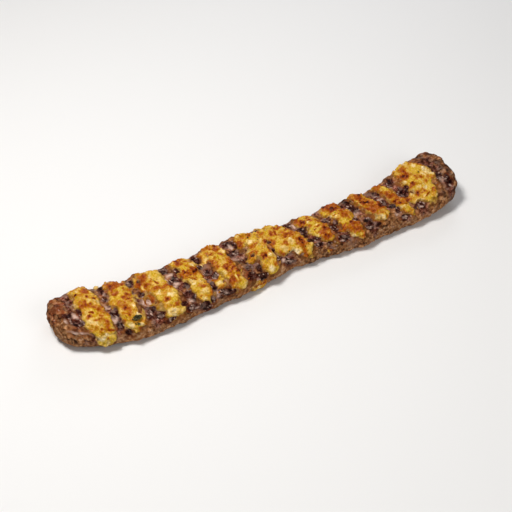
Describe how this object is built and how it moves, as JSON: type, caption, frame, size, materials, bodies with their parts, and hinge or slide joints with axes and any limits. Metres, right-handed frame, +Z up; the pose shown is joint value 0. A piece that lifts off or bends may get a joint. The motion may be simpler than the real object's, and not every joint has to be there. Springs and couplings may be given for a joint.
{
  "type": "kofta kebab with melted cheese",
  "caption": "Long grilled bar of minced meat, pressed with finger grooves, with a band of melted browned cheese on each ridge between them.",
  "frame": {"origin": "on the surface the bar rests on, under the middle of the bounding box", "axes": "+X along the bar towards its raised, wider end; +Z up, through its thickness"},
  "size_m": [0.3601, 0.0704, 0.027],
  "materials": {
    "meat": "charred, craggy, with a film of fat",
    "cheese": "melted and toasted, greasy"
  },
  "bodies": {
    "root": {"kofta_meat": "meat", "cheese_01": "cheese", "cheese_02": "cheese", "cheese_03": "cheese", "cheese_04": "cheese", "cheese_05": "cheese", "cheese_06": "cheese", "cheese_07": "cheese", "cheese_08": "cheese", "cheese_09": "cheese", "cheese_10": "cheese", "cheese_11": "cheese", "cheese_12": "cheese", "cheese_13": "cheese"}
  },
  "joints": []
}
